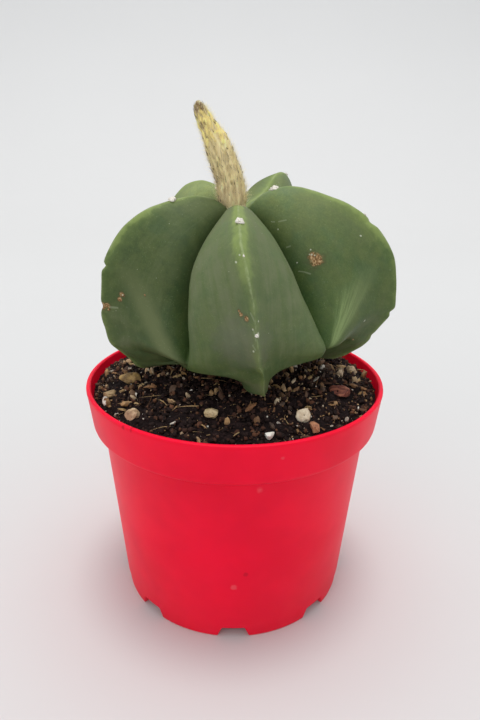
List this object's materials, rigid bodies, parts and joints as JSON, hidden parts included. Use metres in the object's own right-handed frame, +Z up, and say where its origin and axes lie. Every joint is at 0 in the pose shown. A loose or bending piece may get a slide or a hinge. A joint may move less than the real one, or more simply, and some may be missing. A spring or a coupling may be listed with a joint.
{
  "type": "potted bishop's cap cactus",
  "caption": "Spineless star cactus with broad ribs and a withered flower, growing in gritty potting mix in a round plastic pot.",
  "frame": {"origin": "middle of the pot's foot, on the surface the pot stands on", "axes": "+Z up along the pot's axis; -Y is the front, +X to the right"},
  "size_m": [0.0916, 0.09, 0.1494],
  "materials": {
    "pot_plastic": "bright red moulded plastic, semi-matte",
    "potting_mix": "damp dark peat with grit, rough",
    "cactus_skin": "grey-green waxy skin with a light bloom",
    "dried_flower": "straw-coloured, dry and woolly",
    "pale_stone": "pitted pale pumice",
    "perlite": "chalky white",
    "orange_stone": "rough orange brick-like chip",
    "bark": "red-brown rough bark",
    "tan_stone": "matte tan grit"
  },
  "bodies": {
    "root": {"pot": "pot_plastic", "potting_mix": "potting_mix", "cactus_body": "cactus_skin", "dried_flower": "dried_flower", "stone_pumice_round": "pale_stone", "chip_perlite_white": "perlite", "chip_brick_orange": "orange_stone", "chip_bark_red": "bark", "stone_pink": "tan_stone", "stone_tan_left": "tan_stone", "stone_tan_long": "tan_stone", "stone_grey_front": "tan_stone", "stone_tan_right": "tan_stone"}
  },
  "joints": []
}
